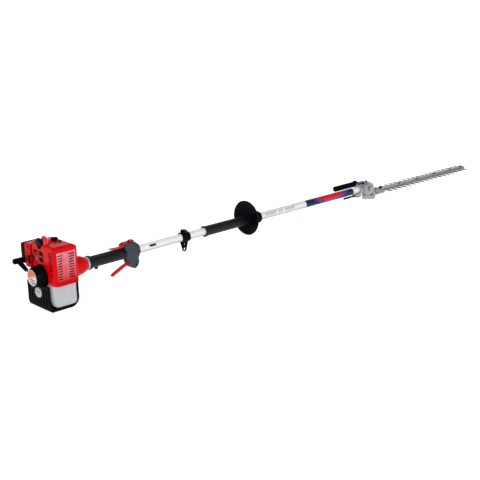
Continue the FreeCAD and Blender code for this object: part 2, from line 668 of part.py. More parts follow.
def make_throttle_housing():
    half = HOUSING_HALF
    body = plate_y(HOUSING_OUTLINE, -half, half)
    faces = [e for e in body.Edges if all(abs(abs(v.Y) - half) < 1e-6 for v in e.Vertexes)]
    body = body.makeFillet(3.5, faces)
    tube_hole = rod_x(240, 340, TUBE_R + 0.05)
    grip_room = rod_x(240, GRIP_END + 0.3, GRIP_R + 0.3)
    trigger_room = plate_y([(240, 80), (294, 80), (294, 56), (284, 50), (240, 28)], -4.6, 4.6)
    lever_room = block(240, 275.2, -7.6, 7.6, 109, 135)
    switch_room = block(276, 299.4, -4.4, 4.4, 119, 135)
    cable_room = block(240, 296, 12, CABLE_Y + CABLE_R + 0.2, AXIS_Z - 3, AXIS_Z + 3)
    wheel_room = block(268, 296, -12, 12, 66, 80)
    body = cut_all(body, [tube_hole, grip_room, trigger_room, lever_room, switch_room, cable_room,
                          wheel_room])
    right = body.common(block(200, 400, -60, 0, 0, 200))
    left = body.common(block(200, 400, 0.05, 60, 0, 200))
    for radius, pin in ((2.5, TRIGGER_PIN), (2.0, LEVER_PIN)):
        right = join(right, rod_y(-half + 1, -0.1, radius, pin[0], pin[1]))
        left = join(left, rod_y(0.1, half - 1, radius, pin[0], pin[1]))
    save("throttle_housing_right", right)
    save("throttle_housing_left", left)


def make_trigger():
    """Red throttle lever under the grip, on a pin across the housing."""
    outline = [(286, 64), (283, 68), (274, 68), (262, 62.5), (238, 53), (212, 41), (206, 36.5),
               (206.5, 32.5), (212, 32.5), (240, 45), (262, 54), (276, 54), (285, 58)]
    lever = plate_y(outline, -4.1, 4.1)
    save("throttle_trigger", lever.cut(rod_y(-10, 10, 2.5 + RUNNING, TRIGGER_PIN[0], TRIGGER_PIN[1])))
    spring = sleeve_x(269.5, 277, 3.2, 2.2, 6.4, 75.0)
    save("trigger_spring", spring)


def make_safety_lever():
    outline = [(274, 110.3), (274, 122), (268, 127.5), (261, 127.5), (250, 120.5), (240, 117.6),
               (212, 119.2), (206, 119), (206, 116.9), (212, 116.6), (238, 114.9), (256, 114.9),
               (266, 110.3)]
    lever = plate_y(outline, -7, 7)
    save("safety_lever", lever.cut(rod_y(-10, 10, 2.0 + RUNNING, LEVER_PIN[0], LEVER_PIN[1])))


def make_stop_switch():
    top = HOUSING_TOP
    button = rounded_box((277, 293), (-8, 8), (top + 0.3, top + 6), 3, 2.5)
    stem = block(279, 291, -4, 4, top - 5, top + 1)
    save("stop_switch", join(button, stem))


def make_throttle_cable():
    route = [V(290, CABLE_Y, AXIS_Z), V(150, CABLE_Y, AXIS_Z), V(104, 37, AXIS_Z + 4),
             V(62, 53, AXIS_Z + 24), V(38, 50, AXIS_Z + 48), V(28, 42, AXIS_Z + 57.3)]
    save("throttle_cable", bent_rod(route, CABLE_R, 12))


def make_hanger():
    """Clamp round the tube, with a plate below whose lower eye takes the harness hook."""
    x = HANGER_X
    top = AXIS_Z + 23.5
    band = sleeve_x(x - 15, x + 15, 17, 13.05)
    lugs = block(x - 8, x + 8, -8, 8, AXIS_Z + 14, top)
    eye = rod_y(-2, 2, 8.5, x, HANGER_EYE_Z)
    web = plate_y([(x - 16.5, AXIS_Z - 13.5), (x - 8.3, HANGER_EYE_Z), (x + 8.3, HANGER_EYE_Z),
                   (x + 16.5, AXIS_Z - 13.5)], -2, 2)
    clamp = join(band, lugs, eye, web)
    bores = [rod_x(x - 30, x + 30, 13.05), block(x - 20, x + 20, -1.5, 1.5, AXIS_Z + 12, top + 1),
             rod_y(-5, 5, HANGER_EYE_R, x, HANGER_EYE_Z), rod_y(-5, 5, 2.6, x, HANGER_EYE_Z + 16),
             rod_y(-12, 12, 2.6, x, HANGER_BOLT_Z)]
    save("hanger_clamp", cut_all(clamp, bores))


def make_front_grip():
    outline = [(SLEEVE_START, 13.05), (SLEEVE_END, 13.05), (SLEEVE_END, SLEEVE_R),
               (SLEEVE_START + 9, SLEEVE_R), (SLEEVE_START + 6, 18.4), (SLEEVE_START, 18.4)]
    save("front_grip", turned_x(outline))


def make_hand_guard():
    """A dish raised above the pole's axis, on a hub that clamps the front grip."""
    x = DISC_X
    dish = turned_x([(x, 58), (x + 3, 60), (x + 6, 59), (x + 14, 40), (x + 24, 27), (x + 28, 0),
                     (x + 22, 0), (x + 18, 24), (x + 10, 38)], AXIS_Z + DISC_RISE)
    hub = rod_x(x + 20, SLEEVE_END + 2, 20.5)
    hub = hub.makeFillet(2, [e for e in hub.Edges if e.BoundBox.XMin > SLEEVE_END])
    lug = rounded_box((GUARD_BOLT_X - 10, GUARD_BOLT_X + 10), (17, 30), (AXIS_Z - 8, AXIS_Z + 8), 3, 0)
    guard = join(dish, hub, lug)
    guard = guard.cut(rod_x(x - 5, SLEEVE_END + 10, SLEEVE_R + 0.05))
    save("hand_guard", guard.cut(rod_z(AXIS_Z - 20, AXIS_Z + 20, 2.2, GUARD_BOLT_X, 25.5)))


def socket_head(x, y, z, radius, height):
    """An upright screw head with a round socket."""
    return rod_z(z, z + height, radius, x, y).cut(rod_z(z + 0.4 * height, z + height + 1, radius / 2, x, y))


def make_screws():
    """Bolts and screws: housing, hanger, guard, head and engine cover."""
    screws = []
    for x, z in ((294, 115), (301, 93), (291, 53)):
        head = rod_y(-HOUSING_HALF - 1.8, -HOUSING_HALF - 0.05, 3.2, x, z)
        screws.append(head.cut(rod_y(-30, -HOUSING_HALF - 0.9, 1.5, x, z)))
    heads = [rod_y(y, y + 3.9, 4.2, HANGER_X, HANGER_BOLT_Z) for y in (-12, 8.1)]
    screws.append(join(rod_y(-12, 12, 2.5, HANGER_X, HANGER_BOLT_Z), *heads))
    shank = rod_z(AXIS_Z - 13, AXIS_Z + 10, 2.1, GUARD_BOLT_X, 25.5)
    screws.append(join(shank, rod_z(AXIS_Z + 8.1, AXIS_Z + 12, 4, GUARD_BOLT_X, 25.5)))
    for x in (1383.0, 1394.0):
        screws.append(socket_head(x, 0, AXIS_Z + 20.2, 4, 4.8))
    for angle in (82, 126):
        out = V(math.cos(math.radians(angle)), 0, math.sin(math.radians(angle)))
        screws.append(rod(V(PIVOT_X, 0, AXIS_Z) + out * (HOOD_R + 0.1), out, 4.5, 4))
    screws.append(rod_y(-11, 11, 2.0, LOCK_PIN[0], LOCK_PIN[1]))
    screws.append(socket_head(24, -22, COVER_Z[1] + 0.1, 4, 4))
    save("screws", Part.makeCompound(screws))


# ---------------------------------------------------------------- tilting head
def sector(inner, outer, y0, y1, start, end):
    """Part of a ring round the tilt axis; angles from +X towards +Z."""
    ring = rod_y(y0, y1, outer, PIVOT_X, AXIS_Z).cut(rod_y(y0 - 1, y1 + 1, inner, PIVOT_X, AXIS_Z))
    reach = 80.0
    points = [(PIVOT_X, AXIS_Z)]
    steps = max(2, int((end - start) / 40) + 1)
    for i in range(steps + 1):
        angle = math.radians(start + (end - start) * i / steps)
        points.append((PIVOT_X + reach * math.cos(angle), AXIS_Z + reach * math.sin(angle)))
    return ring.common(plate_y(points, y0 - 1, y1 + 1))


def make_head_clamp():
    """Fixed half of the head: a socket on the tube, two cheeks, a hood and the tilt pin."""
    socket = rod_x(1374, 1397.5, 18)
    socket = socket.makeFillet(1.5, [e for e in socket.Edges if e.BoundBox.XMax < 1375])
    lug = rounded_box((1378, 1400), (-9, 9), (AXIS_Z + 10, AXIS_Z + 20), 3, 0)
    flange = rounded_box((1397, 1404), (-23, 23), (AXIS_Z - 14, AXIS_Z + 18), 3, 0)
    arms = []
    for y0, y1 in ((-23, -17), (17, 23)):
        arms.append(block(1398, PIVOT_X, y0, y1, AXIS_Z - 12, AXIS_Z + 16))
        arms.append(rod_y(y0, y1, CHEEK_R, PIVOT_X, AXIS_Z))
    hood = sector(BARREL_R + 0.5, HOOD_R, -17.5, 17.5, 32, 195)
    bracket = rounded_box((1358, 1386), (-13, 13), (68.5, 84), 4, 0, 3)
    body = join(socket, lug, flange, hood, bracket, *arms)
    tube_bore = rod_x(1350, TUBE_END + 0.2, TUBE_R + 0.05)
    shaft_bore = rod_x(1370, PIVOT_X - 8, DRIVE_R + 1.2)
    barrel_room = rod_y(-17, 17, BARREL_R + 0.5, PIVOT_X, AXIS_Z)
    journal_bore = rod_y(-40, 40, 9.0 + RUNNING, PIVOT_X, AXIS_Z)
    lock_pin_bore = rod_y(-11.2, 11.2, 2.0 + RUNNING, LOCK_PIN[0], LOCK_PIN[1])
    lever_slot = block(1350, 1390, -2.6, 2.6, 60, 77.3)
    body = cut_all(body, [barrel_room, tube_bore, shaft_bore, journal_bore, lock_pin_bore, lever_slot])
    pin = rod_y(-30, 23.8, 4.0, PIVOT_X, AXIS_Z)
    pin_head = rod_y(-30, -24.4, 10, PIVOT_X, AXIS_Z)
    save("head_clamp", Part.makeCompound(body.Solids + [join(pin, pin_head)]))


def make_gear_case():
    """Tilting half: a barrel between the cheeks, a flat gear housing below and the blade arm."""
    px = PIVOT_X
    gx = CRANK_GEAR_X
    wall = sector(17, BARREL_R, -BARREL_HALF, BARREL_HALF, 249, 426)
    ends = []
    for side in (-1, 1):
        y0, y1 = sorted((side * (BARREL_HALF - 3), side * BARREL_HALF))
        ends.append(rod_y(y0, y1, BARREL_R, px, AXIS_Z))
        y0, y1 = sorted((side * (BARREL_HALF - 1), side * 23.6))
        ends.append(rod_y(y0, y1, 9.0, px, AXIS_Z))
    pot = rod_z(POT_FLOOR, CASE_TOP, POT_R, gx)
    pot = pot.makeFillet(3, [e for e in pot.Edges if e.BoundBox.ZMax < POT_FLOOR + 1])
    nose = rod_z(POT_FLOOR + 1.5, CASE_TOP, 12, px)
    bridge = plate_z([(px, -12), (gx - 6, -24), (gx - 6, 24), (px, 12)], POT_FLOOR + 1.5, CASE_TOP)
    neck = block(px - 6, px + 5.5, -13, 13, CASE_TOP - 5, 80).common(rod_y(-17, 17, 35, px, AXIS_Z))
    arm = block(gx + 16, ARM_END, -15, 15, CASE_TOP - 7, CASE_TOP)
    arm = arm.makeFillet(5, [e for e in arm.Edges if runs_along(e, Z_AXIS) and e.BoundBox.XMin > 1520])
    case = join(pot, nose, bridge, neck, arm, wall, *ends)
    gear_room = rod_z(POT_FLOOR + 2.5, CASE_TOP + 1, CRANK_GEAR_R + 0.8, gx)
    pinion_room = rod_z(POT_FLOOR + 2.5, GEAR_Z + GEAR_THICK + 1, SPUR_R + 0.8, px)
    shaft_bore = rod_z(GEAR_Z, 80, DRIVE_R + RUNNING, px)
    pin_bore = rod_y(-60, 60, 4.0 + RUNNING, px, AXIS_Z)
    barrel_room = rod_y(-13.3, 13.3, 17, px, AXIS_Z)
    save("gear_case", cut_all(case, [gear_room, pinion_room, shaft_bore, pin_bore, barrel_room]))


def make_gear_cover():
    """Cap over the eccentrics, open in front for the blades."""
    gx = CRANK_GEAR_X
    top = BAR_Z + 8
    outer = rod_z(CASE_TOP + 0.2, top, POT_R, gx)
    outer = outer.makeFillet(2.5, [e for e in outer.Edges if e.BoundBox.ZMin > top - 1])
    inner = rod_z(CASE_TOP - 1, top - 2.5, POT_R - 3, gx)
    front = block(gx + 5, gx + 50, -16, 16, CASE_TOP - 1, top - 4)
    behind = block(1380, PIVOT_X + 19, -60, 60, 60, 100)
    barrel_room = rod_y(-60, 60, HOOD_R + 0.6, PIVOT_X, AXIS_Z)
    cover = cut_all(outer, [inner, front, behind, barrel_room])
    save("gear_cover", max(cover.Solids, key=lambda solid: solid.Volume))


def make_gears():
    px = PIVOT_X
    pivot_gear = bevel_gear(26, BEVEL_R - 0.4, BEVEL_R - 1.6, 0.72, V(px, -BEVEL_PINION_R - 0.5, AXIS_Z),
                            V(px, -BEVEL_PINION_R + 2.0, AXIS_Z), X_AXIS, Z_AXIS)
    hub = rod_y(-12.5, -5.9, 8, px, AXIS_Z)
    pivot_gear = join(pivot_gear, hub).cut(rod_y(-20, 20, 4.0 + RUNNING, px, AXIS_Z))
    save("pivot_gear", pivot_gear)
    big = AXIS_Z - BEVEL_R
    gear_top = GEAR_Z + GEAR_THICK
    bevel = bevel_gear(10, BEVEL_PINION_R - 0.2, BEVEL_PINION_R - 1.4, 0.7, V(px, 0, big - 0.5),
                       V(px, 0, big + 3.5), X_AXIS, Y_AXIS)
    shaft = rod_z(GEAR_Z + 1, big, DRIVE_R, px)
    spur = spur_gear(10, SPUR_R - 0.1, SPUR_R - 1.3, px, GEAR_Z, gear_top)
    save("reduction_pinion", join(bevel, shaft, spur))
    gx = CRANK_GEAR_X
    wheel = spur_gear(36, CRANK_GEAR_R - 0.1, CRANK_GEAR_R - 1.5, gx, GEAR_Z, gear_top)
    for i in range(6):
        angle = math.radians(60 * i)
        wheel = wheel.cut(rod_z(50, 62, 3, gx + 12 * math.cos(angle), 12 * math.sin(angle)))
    middle = (gear_top + CASE_TOP) / 2
    lower = rod_z(gear_top, middle, 9, gx, ECCENTRIC)
    upper = rod_z(middle, CASE_TOP, 9, gx, -ECCENTRIC)
    save("crank_gear", join(wheel, lower, upper))


def tooth(x, side):
    """Four corners of one tooth, as (x, y) points; side is -1 on the right and 1 on the left."""
    root = side * BLADE_HALF
    tip = side * (BLADE_HALF + TOOTH_REACH)
    return [(x - TOOTH_ROOT, root), (x - TOOTH_TIP, tip), (x + TOOTH_TIP, tip), (x + TOOTH_ROOT, root)]


def blade_outline(offset):
    """Both cutting edges of one blade, as (x, y) points; the left edge has one tooth more."""
    right = []
    for i in range(TOOTH_COUNT):
        right += tooth(FIRST_TOOTH_X + offset + TOOTH_PITCH * i, -1)
    left = []
    for i in range(TOOTH_COUNT + 1):
        left += tooth(FIRST_TOOTH_X + offset + TOOTH_PITCH * i, 1)
    tip = BLADE_TIP_X + offset
    heel = 1478 + offset
    front = [(tip - 14, -BLADE_HALF), (tip, -7), (tip, BLADE_HALF - 1)]
    return [(heel, -12), (heel + 20, -BLADE_HALF)] + right + front + left[::-1] + [
        (heel + 20, BLADE_HALF), (heel, 12)]


def make_blade(name, z, offset):
    """A toothed bar with a forked heel over the eccentrics and slots for the guide bolts."""
    blade = plate_z(blade_outline(offset), z, z + BLADE_THICK)
    gx = CRANK_GEAR_X
    heel = rod_z(z, z + BLADE_THICK, 17, gx).fuse(block(gx, 1500, -9, 9, z, z + BLADE_THICK))
    blade = join(blade, heel)
    blade = blade.cut(rod_z(z - 1, z + 4, 10.5, gx))
    blade = blade.cut(block(gx - 30, gx - 9, -30, 30, z - 1, z + 4))
    half = ECCENTRIC + 0.6
    for x in BOLT_XS:
        slot = join(block(x - half, x + half, -3.5, 3.5, z - 1, z + 4), rod_z(z - 1, z + 4, 3.5, x - half),
                    rod_z(z - 1, z + 4, 3.5, x + half))
        blade = blade.cut(slot)
    save(name, blade)


def make_guide_bar():
    tip = BLADE_TIP_X
    bar = plate_z([(1478, -12), (tip - 16, -10), (tip - 4, -6), (tip - 4, 6), (tip - 16, 10), (1478, 12)],
                  BAR_Z, BAR_Z + BAR_THICK)
    bar_top = BAR_Z + BAR_THICK
    for x in BOLT_XS:
        bar = bar.cut(rod_z(BAR_Z - 1, bar_top + 1, 3.1, x))
    save("guide_bar", bar)
    bolts = []
    for x in BOLT_XS:
        on_arm = x < ARM_END
        low = BLADE_Z - 0.6 if on_arm else BLADE_Z - 3.4
        head = rod_z(bar_top + 0.1, bar_top + (9 if on_arm else 3), 6.0 if on_arm else 5.5, x)
        bolt = join(rod_z(low, bar_top + 1, 3.0, x), head)
        if not on_arm:
            bolt = join(bolt, rod_z(low, BLADE_Z - 0.3, 6, x))
        bolts.append(bolt)
    save("blade_bolts", Part.makeCompound(bolts))


def make_angle_handle():
    """Black bar beside the pole that swings the head, with a ball and a bracket on the tilt axis."""
    bar = rod_x(1290, 1406, 10.5, HANDLE_Y, HANDLE_Z)
    bar = bar.makeFillet(4, [e for e in bar.Edges if e.BoundBox.XMax < 1291])
    ball = Part.makeSphere(13.5, V(1412, HANDLE_Y, HANDLE_Z))
    foot = block(PIVOT_X - 13, PIVOT_X + 10, 30, HANDLE_Y, AXIS_Z + 2, AXIS_Z + 17)
    disc = rod_y(24, 31, 16, PIVOT_X, AXIS_Z)
    save("angle_handle", join(bar, ball, foot, disc))


def make_lock_lever():
    outline = [(1380.5, 75.8), (1382.5, 73.5), (1381, 70.5), (1376, 69.5), (1330, 73), (1303, 72),
               (1296, 70.5), (1295, 73.5), (1302, 76.5), (1330, 78), (1372, 76.5)]
    lever = plate_y(outline, -2.3, 2.3)
    paddle = block(1300, 1330, -7, 7, 73, 76)
    lever = join(lever, paddle)
    lever = lever.cut(rod_y(-10, 10, 2.0 + RUNNING, LOCK_PIN[0], LOCK_PIN[1]))
    save("lock_lever", lever)


make_crankcase()
make_cylinder()
make_piston()
make_connecting_rod()
make_crankshaft()
make_bearings()
make_flywheel()
make_clutch_shoes()
make_clutch_drum()
make_ignition_coil()
make_spark_plug()
make_plug_cap()
make_plug_lead()
make_engine_cover()
make_plug_hood()
make_cover_knob()
make_muffler()
make_fan_case()
make_clamp_ring()
make_starter_case()
make_starter_reel()
make_starter_grip()
make_air_cleaner()
make_carburettor()
make_throttle_arm()
make_choke_lever()
make_primer_bulb()
make_fuel_tank()
make_fuel_cap()
make_tank_guard()
make_pole()
make_drive_shaft()
make_rear_grip()
make_throttle_housing()
make_trigger()
make_safety_lever()
make_stop_switch()
make_throttle_cable()
make_hanger()
make_front_grip()
make_hand_guard()
make_screws()
make_head_clamp()
make_gear_case()
make_gear_cover()
make_gears()
make_blade("lower_blade", BLADE_Z, BLADE_OFFSET)
make_blade("upper_blade", BLADE_Z + BLADE_THICK + BLADE_GAP, 0.0)
make_guide_bar()
make_angle_handle()
make_lock_lever()
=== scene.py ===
import json
import math

import bmesh
import bpy
from mathutils import Euler, Matrix, Vector


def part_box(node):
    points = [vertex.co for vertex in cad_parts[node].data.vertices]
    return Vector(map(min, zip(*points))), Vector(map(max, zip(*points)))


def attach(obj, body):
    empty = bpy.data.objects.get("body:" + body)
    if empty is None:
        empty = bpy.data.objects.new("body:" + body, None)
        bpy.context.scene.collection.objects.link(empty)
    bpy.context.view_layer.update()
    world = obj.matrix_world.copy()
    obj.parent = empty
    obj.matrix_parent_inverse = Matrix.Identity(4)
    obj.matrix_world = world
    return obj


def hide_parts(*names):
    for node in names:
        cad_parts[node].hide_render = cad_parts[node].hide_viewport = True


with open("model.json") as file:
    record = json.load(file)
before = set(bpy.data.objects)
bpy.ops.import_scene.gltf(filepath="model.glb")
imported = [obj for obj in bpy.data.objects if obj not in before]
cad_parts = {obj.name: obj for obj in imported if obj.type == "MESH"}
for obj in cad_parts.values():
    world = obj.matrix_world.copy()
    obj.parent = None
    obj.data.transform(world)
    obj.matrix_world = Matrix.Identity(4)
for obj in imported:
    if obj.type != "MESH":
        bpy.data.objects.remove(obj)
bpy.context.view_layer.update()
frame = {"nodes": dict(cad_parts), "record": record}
nodes = frame["nodes"]
scene = bpy.context.scene
tube_low, tube_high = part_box("shaft_tube")
cover_low, cover_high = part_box("engine_cover")
hanger_low, hanger_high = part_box("hanger_clamp")
case_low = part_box("starter_case")[0]
tank_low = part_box("fuel_tank")[0]
guard_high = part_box("hand_guard")[1]
clamp_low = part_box("head_clamp")[0]
bolts_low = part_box("blade_bolts")[0]

CAMERA_PLACE = (-1.2735, -2.1332, 0.8929)
CAMERA_ANGLES = (73.635, 1.149, -43.756)  # degrees about X, Y and Z
CAMERA_LENS = 67.05       # millimetres, on a sensor 36 mm wide
AXIS_Z = (tube_low.z + tube_high.z) / 2   # height of the pole's axis
TUBE_R = (tube_high.z - tube_low.z) / 2
LABEL_X = (hanger_low.x + hanger_high.x) / 2 - 0.1365   # small dark plate behind the hanger
LABEL_HALF = 0.013
WRAP_HALF = 0.134
WRAP_X = clamp_low.x - 0.020 - WRAP_HALF  # middle of the printed wrap, which ends short of the head clamp
LOBE_X = WRAP_X + 0.007   # middle of the red lobe on the wrap
LOBE_HALF = 0.084
LOBE_DEPTH = 1.3          # in tube radii
PANEL_Y = cover_low.y + 0.0045            # what lies to the right of this takes the panel's painted reflection
PANEL_X = (cover_low.x + cover_high.x) / 2    # centre of the slotted panel
PANEL_X_HALF = 0.0305
PANEL_Z = 0.1295
PANEL_Z_HALF = 0.0415
PLATE_X = case_low.x - 0.0005             # the printed face of the round plate
PLATE_R = 0.024
PLATE_RIM_R = 0.0222
FLOOR_X = 1.0             # the floor is centred under the machine
FLOOR_R = 10.0
RIM_CURVE_R = 3.0
RIM_TOP = 5.0
FLOOR_GLOW = 0.70
WHITE = (0.90, 0.90, 0.90)
NAVY = (0.006, 0.010, 0.045)
RED = (0.68, 0.004, 0.012)
BLUE = (0.015, 0.04, 0.36)
VIOLET = (0.10, 0.04, 0.22)
# painted shade: the darker tone that the pole's underside takes
UNDERSIDE_SHADE_METAL = (0.36, 0.36, 0.355)
PAINTED_SHADE_FROM = 0.4           # painted shade darkens the pole from here down, in tube radii from its axis
PAINTED_SHADE_TO = -0.8
LABEL_BLACK = (0.03, 0.03, 0.035)
FAINT_RED = (0.70, 0.46, 0.50)
FAINT_BLUE = (0.50, 0.55, 0.72)
# each mark's distance in front of the hand guard, its half length and its colour
FAINT_MARKS = ((0.050, 0.028, FAINT_RED), (0.100, 0.010, FAINT_BLUE), (0.147, 0.024, FAINT_RED))
# the pale pink of the slotted panel's painted reflection
PANEL_REFLECTION_PINK = (0.78, 0.42, 0.50)


# ------------------------------------------------------------------ camera, floor and light
def make_camera():
    data = bpy.data.cameras.new("camera")
    camera = bpy.data.objects.new("camera", data)
    scene.collection.objects.link(camera)
    turn = Euler([math.radians(angle) for angle in CAMERA_ANGLES])
    camera.matrix_world = Matrix.LocRotScale(Vector(CAMERA_PLACE), turn, None)
    data.sensor_width = 36.0
    data.lens = CAMERA_LENS
    data.clip_start = 0.05
    data.clip_end = 60.0
    scene.camera = camera


def make_floor():
    """A pale round floor that curves up into a rim on every side."""
    builder = bmesh.new()
    profile = [(FLOOR_R, 0.0)]
    curve_steps = 12
    for i in range(1, curve_steps + 1):
        angle = math.pi / 2 * i / curve_steps
        profile.append((FLOOR_R + RIM_CURVE_R * math.sin(angle), RIM_CURVE_R - RIM_CURVE_R * math.cos(angle)))
    profile.append((FLOOR_R + RIM_CURVE_R, RIM_TOP))
    middle = builder.verts.new((FLOOR_X, 0.0, 0.0))
    steps = 96
    rows = []
    for i in range(steps):
        turn = 2 * math.pi * i / steps
        rows.append([builder.verts.new((FLOOR_X + radius * math.cos(turn), radius * math.sin(turn), height))
                     for radius, height in profile])
    for i in range(steps):
        row = rows[i]
        following = rows[(i + 1) % steps]
        builder.faces.new((middle, row[0], following[0]))
        for j in range(len(profile) - 1):
            face = builder.faces.new((row[j], row[j + 1], following[j + 1], following[j]))
            face.smooth = True
    floor = mesh_object("floor", builder)
    material = bpy.data.materials.new("floor")
    material.use_nodes = True
    shader = material.node_tree.nodes["Principled BSDF"]
    shader.inputs["Base Color"].default_value = (*WHITE, 1)
    shader.inputs["Roughness"].default_value = 0.9
    shader.inputs["Specular IOR Level"].default_value = 0.1
    shader.inputs["Emission Color"].default_value = (*WHITE, 1)
    shader.inputs["Emission Strength"].default_value = FLOOR_GLOW
    floor.data.materials.append(material)


def area_light(name, place, target, size, power):
    data = bpy.data.lights.new(name, "AREA")
    data.shape = "RECTANGLE"
    data.size, data.size_y = size
    data.energy = power
    light = bpy.data.objects.new(name, data)
    scene.collection.objects.link(light)
    light.location = place
    light.rotation_euler = (Vector(place) - Vector(target)).to_track_quat("Z", "Y").to_euler()


def make_lights():
    world = bpy.data.worlds.new("studio")
    world.use_nodes = True
    background = world.node_tree.nodes["Background"]
    background.inputs["Color"].default_value = (1.0, 1.0, 1.0, 1)
    background.inputs["Strength"].default_value = 0.30
    scene.world = world
    area_light("key", (-1.6, -2.4, 2.6), (0.5, 0, 0.1), (1.3, 1.3), 30)
    area_light("top", (0.8, 0.4, 3.0), (0.8, 0, 0.1), (3.2, 1.0), 22)
    area_light("fill", (-3.0, 0.8, 1.2), (0, 0, 0.1), (1.0, 1.0), 2)


# ------------------------------------------------------------------ shader helpers
def add(tree, kind, inputs=None, **settings):
    """A shader node with its settings and inputs; an input is a value or another node's output."""
    made = tree.nodes.new("ShaderNode" + kind)
    for key, value in settings.items():
        setattr(made, key, value)
    for key, value in (inputs or {}).items():
        if isinstance(value, bpy.types.NodeSocket):
            tree.links.new(value, made.inputs[key])
        else:
            made.inputs[key].default_value = value
    return made


def blank(name):
    material = bpy.data.materials.new(name)
    material.use_nodes = True
    return material, material.node_tree, material.node_tree.nodes["Principled BSDF"]


def blend_tones(tree, factor, first, second):
    mixer = add(tree, "Mix", {"Factor": factor}, data_type="RGBA")
    for socket, value in ((mixer.inputs[6], first), (mixer.inputs[7], second)):
        if isinstance(value, bpy.types.NodeSocket):
            tree.links.new(value, socket)
        else:
            socket.default_value = (*value, 1)
    return mixer.outputs[2]


def between(tree, value, low, high, out_low=0.0, out_high=1.0):
    """The value, moved from the range low..high to the range out_low..out_high."""
    mapped = add(tree, "MapRange", {"Value": value, "From Min": low, "From Max": high, "To Min": out_low,
                                    "To Max": out_high})
    return mapped.outputs["Result"]


def calc(tree, operation, first, second=0.0):
    node = add(tree, "Math", {0: first, 1: second}, operation=operation)
    return node.outputs[0]


def noise(tree, place, scale, detail=4.0, roughness=0.55):
    made = add(tree, "TexNoise", {"Vector": place, "Scale": scale, "Detail": detail, "Roughness": roughness})
    return made.outputs["Fac"]


def inside(tree, value, centre, half):
    """1 where the value is within half of the centre, else 0."""
    return add(tree, "Math", {0: value, 1: centre, 2: half}, operation="COMPARE").outputs[0]


def colour_steps(tree, factor, stops):
    """Flat colours, each from its stop up to the next one."""
    bands = add(tree, "ValToRGB", {"Fac": factor})
    ramp = bands.color_ramp
    ramp.interpolation = "CONSTANT"
    while len(ramp.elements) < len(stops):
        ramp.elements.new(0.5)
    for element, (position, paint) in zip(ramp.elements, stops):
        element.position = position
        element.color = (*paint, 1)
    return bands.outputs["Color"]


def shades(tone, spread):
    """A darker and a lighter shade of one tone."""
    dark = tuple(c * (1 - spread) for c in tone)
    light = tuple(min(1.0, c * (1 + spread)) for c in tone)
    return dark, light


def surface(name, tone, roughness, metallic=0.0, grain=900.0, relief=0.15, depth=0.0002, spread=0.08,
            stretch=(1, 1, 1), edge=0.0006, worn=None, wear=0.0, patch=35.0, tint=None, sockets=None):
    """Mottled tone, fine grain in relief and roughness, softened edges, and rubbed corners if worn is given.

    tint is a function that paints over the tone; it takes the tree, the object place and the tone's output.
    """
    material, tree, shader = blank(name)
    place = add(tree, "TexCoord").outputs["Object"]
    stretched = add(tree, "Mapping", {"Vector": place, "Scale": stretch}).outputs["Vector"]
    patches = noise(tree, place, patch, 5.0)
    fine = noise(tree, stretched, grain, 6.0, 0.6)
    dark, light = shades(tone, spread)
    colour = blend_tones(tree, between(tree, patches, 0.3, 0.7), dark, light)
    colour = blend_tones(tree, between(tree, fine, 0.45, 0.8, 0.0, spread * 3), colour, dark)
    if tint:
        colour = tint(tree, place, colour)
    rounded = add(tree, "Bevel", {"Radius": edge}, samples=4).outputs["Normal"]
    if worn:
        flat = add(tree, "NewGeometry").outputs["Normal"]
        facing = add(tree, "VectorMath", {0: rounded, 1: flat}, operation="DOT_PRODUCT").outputs["Value"]
        corner = between(tree, facing, 0.98, 0.80)
        breaks = between(tree, noise(tree, place, 160.0, 6.0), 0.42, 0.62, 0.0, wear)
        rubbed = calc(tree, "MULTIPLY", corner, breaks)
        colour = blend_tones(tree, rubbed, colour, worn)
    smudges = between(tree, noise(tree, place, 60.0, 3.0), 0.3, 0.7, 0.85, 1.18)
    rough = calc(tree, "MULTIPLY", calc(tree, "MULTIPLY", smudges, roughness),
                 between(tree, fine, 0.2, 0.8, 0.9, 1.12))
    bump = add(tree, "Bump", {"Strength": relief, "Distance": depth, "Height": fine, "Normal": rounded})
    tree.links.new(colour, shader.inputs["Base Color"])
    tree.links.new(rough, shader.inputs["Roughness"])
    tree.links.new(bump.outputs["Normal"], shader.inputs["Normal"])
    shader.inputs["Metallic"].default_value = metallic
    for key, value in (sockets or {}).items():
        shader.inputs[key].default_value = value
    return material


# ------------------------------------------------------------------ materials, one per slot
def tube_print_and_shade(tree, place, tone):
    """A painted shade darkening the underside, a small plate, faint marks and a long swept wrap of colour
    near the head.
    """
    split = add(tree, "SeparateXYZ", {"Vector": place})
    along = split.outputs["X"]
    height = calc(tree, "DIVIDE", calc(tree, "SUBTRACT", split.outputs["Z"], AXIS_Z), TUBE_R)
    # painted shade: the pole darkens towards its underside
    tone = blend_tones(tree, between(tree, height, PAINTED_SHADE_FROM, PAINTED_SHADE_TO), tone, UNDERSIDE_SHADE_METAL)
    reach = calc(tree, "DIVIDE", calc(tree, "SUBTRACT", along, LOBE_X), LOBE_HALF)
    bowl = calc(tree, "MULTIPLY", calc(tree, "MULTIPLY", reach, reach), LOBE_DEPTH)
    sweep = calc(tree, "SUBTRACT", calc(tree, "ADD", height, LOBE_DEPTH - 1.0), bowl)
    stripes = colour_steps(tree, between(tree, sweep, -2.0, 2.0),
                           ((0.0, NAVY), (0.31, BLUE), (0.43, VIOLET), (0.49, RED)))
    tone = blend_tones(tree, inside(tree, along, WRAP_X, WRAP_HALF), tone, stripes)
    near_side = calc(tree, "LESS_THAN", split.outputs["Y"], 0.0)
    label = calc(tree, "MULTIPLY", inside(tree, along, LABEL_X, LABEL_HALF), inside(tree, height, 0.42, 0.25))
    tone = blend_tones(tree, calc(tree, "MULTIPLY", label, near_side), tone, LABEL_BLACK)
    for beyond_guard, half, paint in FAINT_MARKS:
        stretch = inside(tree, along, guard_high.x + beyond_guard, half)
        mark = calc(tree, "MULTIPLY", stretch, inside(tree, height, 0.35, 0.35))
        tone = blend_tones(tree, calc(tree, "MULTIPLY", mark, 0.8), tone, paint)
    return tone


